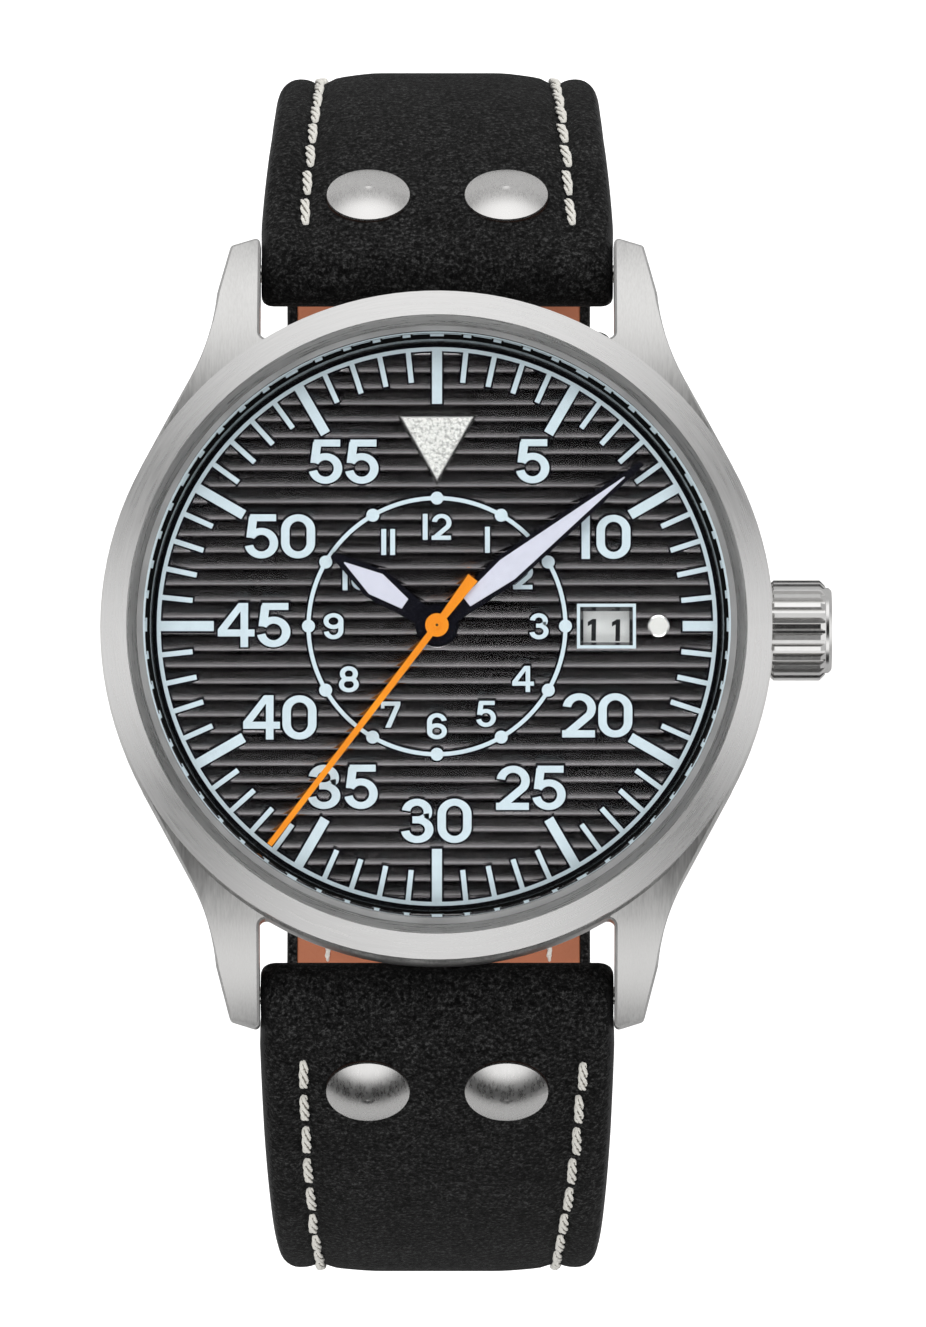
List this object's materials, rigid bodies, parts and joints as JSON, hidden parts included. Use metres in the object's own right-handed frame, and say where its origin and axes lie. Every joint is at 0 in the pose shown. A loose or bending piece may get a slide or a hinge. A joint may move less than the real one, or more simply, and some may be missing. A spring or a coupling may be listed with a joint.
{
  "type": "pilot watch",
  "caption": "Round steel pilot watch with a ribbed dial, sword hands, fluted crown and riveted leather strap closed by a pin buckle.",
  "frame": {"origin": "centre of the case back's outer face", "axes": "+Z out of the dial, +Y towards 12 o'clock, +X towards the crown"},
  "size_m": [0.0457, 0.078, 0.0707],
  "materials": {
    "case_steel": "vertical brushing, polished edges",
    "bezel_steel": "circular brushing with a darker inner bevel",
    "crown_steel": "polished flutes",
    "bright_steel": "polished steel",
    "rivet_steel": "straight brushing on a low dome",
    "crystal_glass": "clear, polished",
    "gasket_grey": "satin grey",
    "gasket_black": "matte",
    "flange_black": "satin black",
    "dial_black": "glossy black lacquer over horizontal ribs",
    "lume_blue": "pale blue-white, slightly granular",
    "lume_hand": "pale lavender-white",
    "marker_steel": "fine grained",
    "date_disc": "pale, printed in black",
    "hand_black": "glossy black",
    "seconds_orange": "satin orange",
    "movement_plastic": "black holder ring",
    "movement_nickel": "nickel plated, fine grained",
    "gear_brass": "machined",
    "coil_copper": "enamelled copper winding",
    "board_green": "solder resist",
    "leather_black": "black nubuck, fine grain",
    "leather_brown": "brown lining, smooth"
  },
  "bodies": {
    "case": {"case_back": "case_steel", "case_back_gasket": "gasket_black", "mid_case": "case_steel", "bezel": "bezel_steel", "crystal_gasket": "gasket_grey", "crystal": "crystal_glass", "rehaut": "flange_black", "dial": "dial_black", "minute_track": "lume_blue", "hour_circle": "lume_blue", "triangle_marker": "marker_steel", "round_marker": "marker_steel", "date_frame": "lume_blue", "movement_holder": "movement_plastic", "main_plate": "movement_nickel", "train_bridge": "movement_nickel", "bridge_screws": "bright_steel", "battery": "bright_steel", "coil": "coil_copper", "stator": "movement_nickel", "circuit_board": "board_green", "oscillator": "bright_steel", "crown_tube": "bright_steel", "strap_12_outer": "leather_black", "strap_12_lining": "leather_brown", "strap_6_outer": "leather_black", "strap_6_lining": "leather_brown", "strap_rivets": "rivet_steel", "rivet_washers": "bright_steel", "fixed_keeper": "leather_black", "buckle_frame": "case_steel", "spring_bar_12": "bright_steel", "spring_bar_6": "bright_steel", "buckle_bar": "bright_steel"},
    "date_ring": {"date_ring": "date_disc"},
    "seconds": {"seconds_hand": "seconds_orange", "fourth_wheel": "gear_brass"},
    "minutes": {"cannon_pinion": "movement_nickel", "centre_wheel": "gear_brass", "minute_hand": "hand_black", "minute_hand_lume": "lume_hand"},
    "hours": {"hour_wheel": "gear_brass", "hour_hand": "hand_black", "hour_hand_lume": "lume_hand"},
    "third_wheel": {"third_wheel": "gear_brass"},
    "fifth_wheel": {"fifth_wheel": "gear_brass"},
    "rotor": {"rotor": "movement_nickel"},
    "minute_wheel": {"minute_wheel": "gear_brass"},
    "crown_slide": {"crown_gasket": "gasket_black"},
    "crown": {"crown": "crown_steel", "stem": "bright_steel"},
    "setting_lever": {"setting_lever": "bright_steel"},
    "free_keeper": {"free_keeper": "leather_black"},
    "tongue": {"buckle_tongue": "case_steel"},
    "spring_bar_12_tip_left": {"spring_bar_12_tip_left": "bright_steel"},
    "spring_bar_12_tip_right": {"spring_bar_12_tip_right": "bright_steel"},
    "spring_bar_6_tip_left": {"spring_bar_6_tip_left": "bright_steel"},
    "spring_bar_6_tip_right": {"spring_bar_6_tip_right": "bright_steel"},
    "buckle_bar_tip_left": {"buckle_bar_tip_left": "bright_steel"},
    "buckle_bar_tip_right": {"buckle_bar_tip_right": "bright_steel"}
  },
  "joints": [
    {"name": "seconds_turn", "type": "hinge", "parent": "case", "child": "seconds", "pos_m": [0, 0, 0.0075], "axis": [0, 0, -1], "continuous": true},
    {"name": "minute_turn", "type": "hinge", "parent": "case", "child": "minutes", "pos_m": [0, 0, 0.007], "axis": [0, 0, -1], "continuous": true},
    {"name": "hour_turn", "type": "hinge", "parent": "case", "child": "hours", "pos_m": [0, 0, 0.0065], "axis": [0, 0, -1], "continuous": true},
    {"name": "third_wheel_turn", "type": "hinge", "parent": "case", "child": "third_wheel", "pos_m": [-0.00308, -0.00144, 0.0036], "axis": [0, 0, -1], "continuous": true},
    {"name": "fifth_wheel_turn", "type": "hinge", "parent": "case", "child": "fifth_wheel", "pos_m": [0.0017, 0.00295, 0.0028], "axis": [0, 0, -1], "continuous": true},
    {"name": "rotor_turn", "type": "hinge", "parent": "case", "child": "rotor", "pos_m": [0.00313, 0.00419, 0.0035], "axis": [0, 0, -1], "continuous": true},
    {"name": "minute_wheel_turn", "type": "hinge", "parent": "case", "child": "minute_wheel", "pos_m": [-0.0018, 0.00312, 0.0056], "axis": [0, 0, -1], "continuous": true},
    {"name": "date_turn", "type": "hinge", "parent": "case", "child": "date_ring", "pos_m": [0, 0, 0.00585], "axis": [0, 0, -1], "continuous": true},
    {"name": "crown_pull", "type": "slide", "parent": "case", "child": "crown_slide", "axis": [1, 0, 0], "range_m": [0, 0.001]},
    {"name": "crown_turn", "type": "hinge", "parent": "crown_slide", "child": "crown", "pos_m": [0.0225, 0, 0.004], "axis": [1, 0, 0], "continuous": true},
    {"name": "setting_lever_turn", "type": "hinge", "parent": "case", "child": "setting_lever", "pos_m": [0.0098, 0.00255, 0.0047], "axis": [0, 0, 1], "range_deg": [0, 22.2]},
    {"name": "spring_bar_12_tip_left_slide", "type": "slide", "parent": "case", "child": "spring_bar_12_tip_left", "axis": [1, 0, 0], "range_m": [0, 0.001], "stiffness_N_per_m": 600, "springref_m": -0.001},
    {"name": "spring_bar_12_tip_right_slide", "type": "slide", "parent": "case", "child": "spring_bar_12_tip_right", "axis": [-1, 0, 0], "range_m": [0, 0.001], "stiffness_N_per_m": 600, "springref_m": -0.001},
    {"name": "spring_bar_6_tip_left_slide", "type": "slide", "parent": "case", "child": "spring_bar_6_tip_left", "axis": [1, 0, 0], "range_m": [0, 0.001], "stiffness_N_per_m": 600, "springref_m": -0.001},
    {"name": "spring_bar_6_tip_right_slide", "type": "slide", "parent": "case", "child": "spring_bar_6_tip_right", "axis": [-1, 0, 0], "range_m": [0, 0.001], "stiffness_N_per_m": 600, "springref_m": -0.001},
    {"name": "buckle_bar_tip_left_slide", "type": "slide", "parent": "case", "child": "buckle_bar_tip_left", "axis": [1, 0, 0], "range_m": [0, 0.001], "stiffness_N_per_m": 600, "springref_m": -0.001},
    {"name": "buckle_bar_tip_right_slide", "type": "slide", "parent": "case", "child": "buckle_bar_tip_right", "axis": [-1, 0, 0], "range_m": [0, 0.001], "stiffness_N_per_m": 600, "springref_m": -0.001},
    {"name": "free_keeper_slide", "type": "slide", "parent": "case", "child": "free_keeper", "axis": [0, 0.9476, 0.3193], "range_m": [-0.002, 0.002]},
    {"name": "tongue_turn", "type": "hinge", "parent": "case", "child": "tongue", "pos_m": [0, 0.00572, -0.05392], "axis": [1, 0, 0], "range_deg": [0, 12]}
  ],
  "couplings": [
    {"joint": "minute_turn", "follows": "seconds_turn", "ratio": 0.016667},
    {"joint": "hour_turn", "follows": "seconds_turn", "ratio": 0.0013889},
    {"joint": "third_wheel_turn", "follows": "seconds_turn", "ratio": -0.13333},
    {"joint": "fifth_wheel_turn", "follows": "seconds_turn", "ratio": -5},
    {"joint": "rotor_turn", "follows": "seconds_turn", "ratio": 30},
    {"joint": "minute_wheel_turn", "follows": "seconds_turn", "ratio": -0.0055556},
    {"joint": "setting_lever_turn", "follows": "crown_pull", "rad_per_m": 387}
  ]
}
